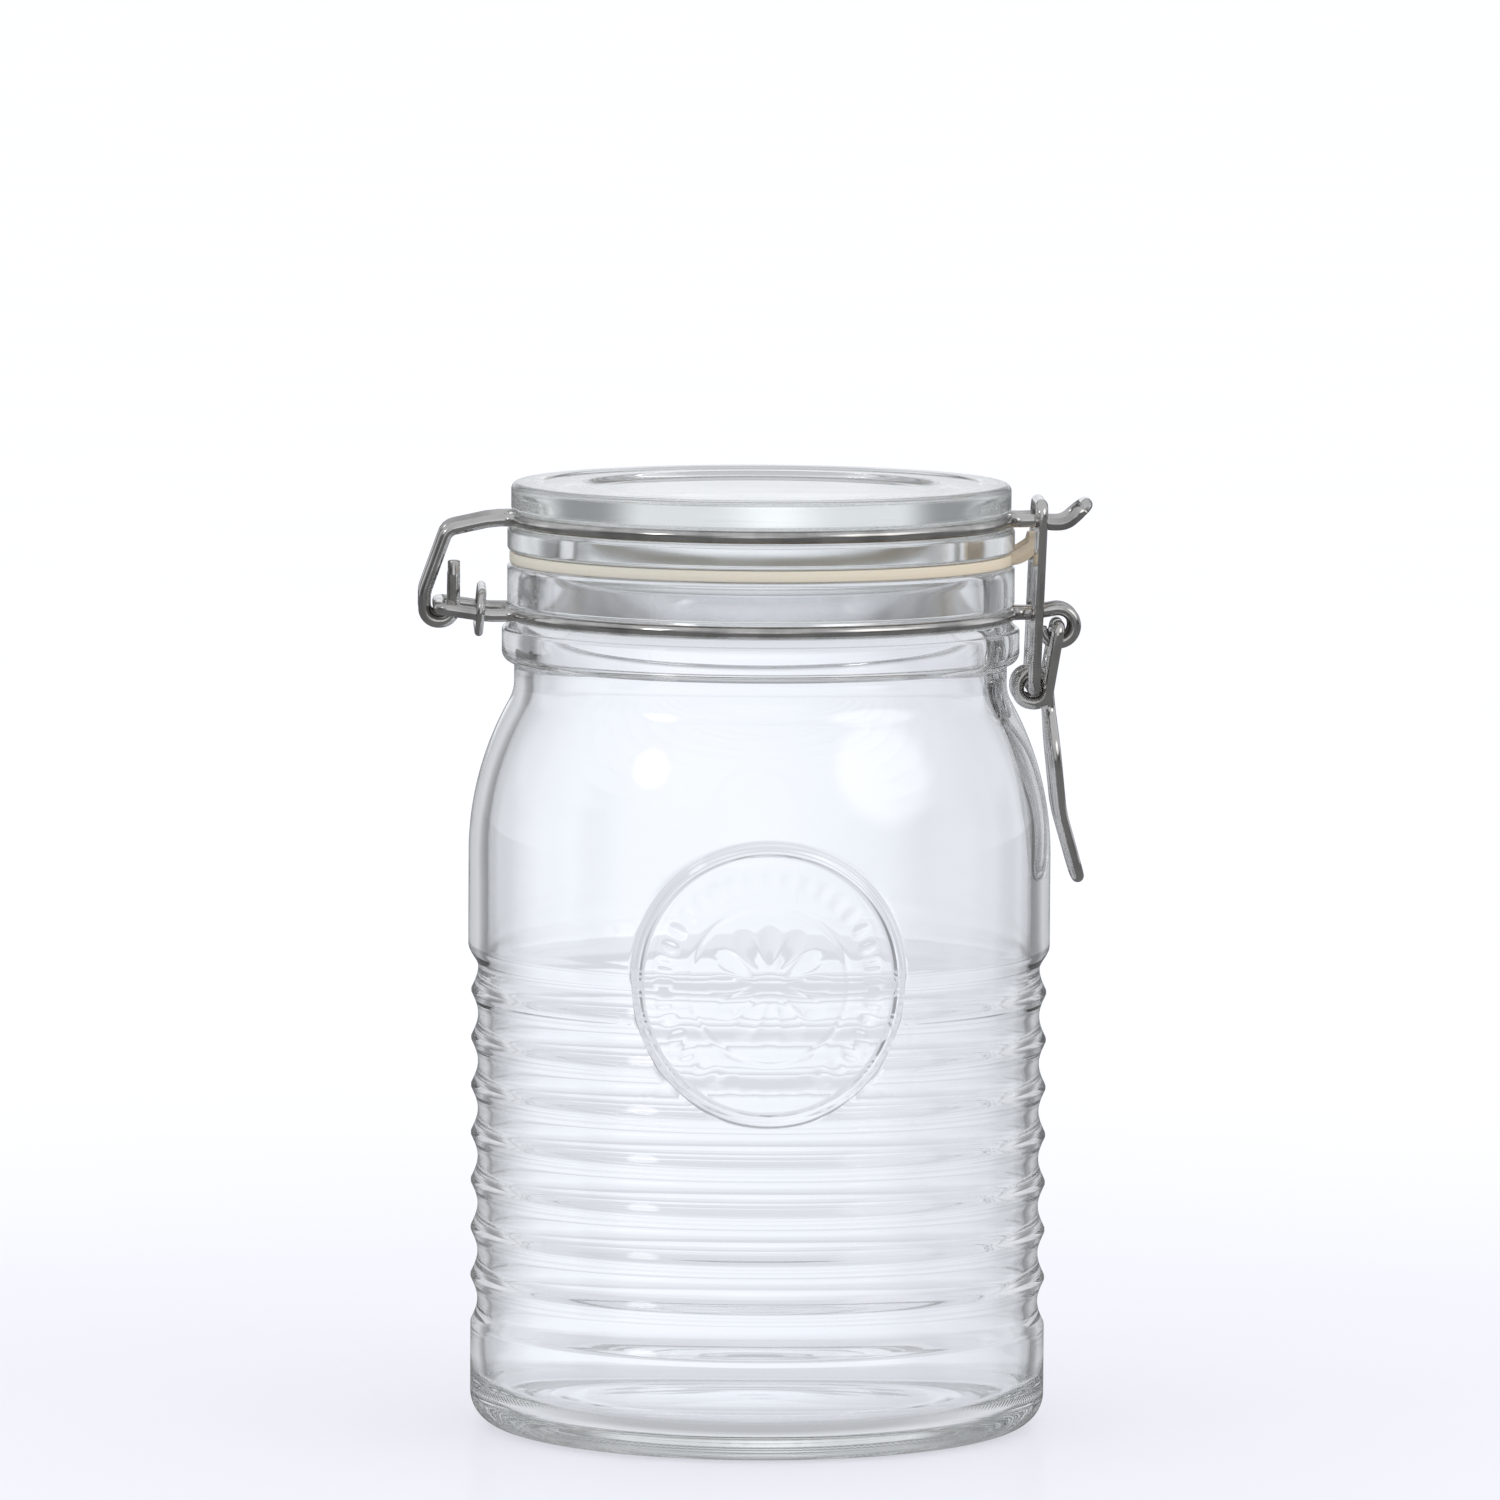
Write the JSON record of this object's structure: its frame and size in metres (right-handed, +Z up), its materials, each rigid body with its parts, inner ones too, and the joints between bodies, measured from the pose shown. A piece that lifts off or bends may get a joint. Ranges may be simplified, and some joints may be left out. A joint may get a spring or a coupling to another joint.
{
  "type": "clip-top preserve jar",
  "caption": "Ribbed clear glass preserve jar with a plain medallion, a hinged glass lid, a rubber gasket and a wire toggle latch.",
  "frame": {"origin": "centre of the jar's base, on the glass jar's axis, at the surface that the jar stands on", "axes": "+Z up along the jar's axis, +X towards the latch, -X towards the hinge, -Y towards the medallion"},
  "size_m": [0.1273, 0.1111, 0.1788],
  "materials": {
    "jar_glass": "clear pressed glass, smooth",
    "lid_glass": "clear pressed glass, fine stipple on the rim",
    "gasket_rubber": "cream rubber, satin",
    "wire_steel": "drawn bright steel wire"
  },
  "bodies": {
    "jar": {"jar": "jar_glass", "neck_wire": "wire_steel", "hinge_clip": "wire_steel"},
    "lid": {"lid": "lid_glass", "gasket": "gasket_rubber", "lid_wire": "wire_steel"},
    "lever": {"lever": "wire_steel"},
    "link": {"link": "wire_steel"}
  },
  "joints": [
    {"name": "lid_hinge", "type": "hinge", "parent": "jar", "child": "lid", "pos_m": [-0.0608, 0, 0.1556], "axis": [0, -1, 0], "range_deg": [0, 110]},
    {"name": "lever_pivot", "type": "hinge", "parent": "jar", "child": "lever", "pos_m": [0.0561, 0, 0.152], "axis": [0, -1, 0], "range_deg": [0, 110]},
    {"name": "link_pivot", "type": "hinge", "parent": "lever", "child": "link", "pos_m": [0.0513, 0, 0.1403], "axis": [0, -1, 0], "range_deg": [-90, 0]}
  ],
  "couplings": [
    {"joint": "link_pivot", "follows": "lever_pivot", "ratio": -0.78}
  ]
}
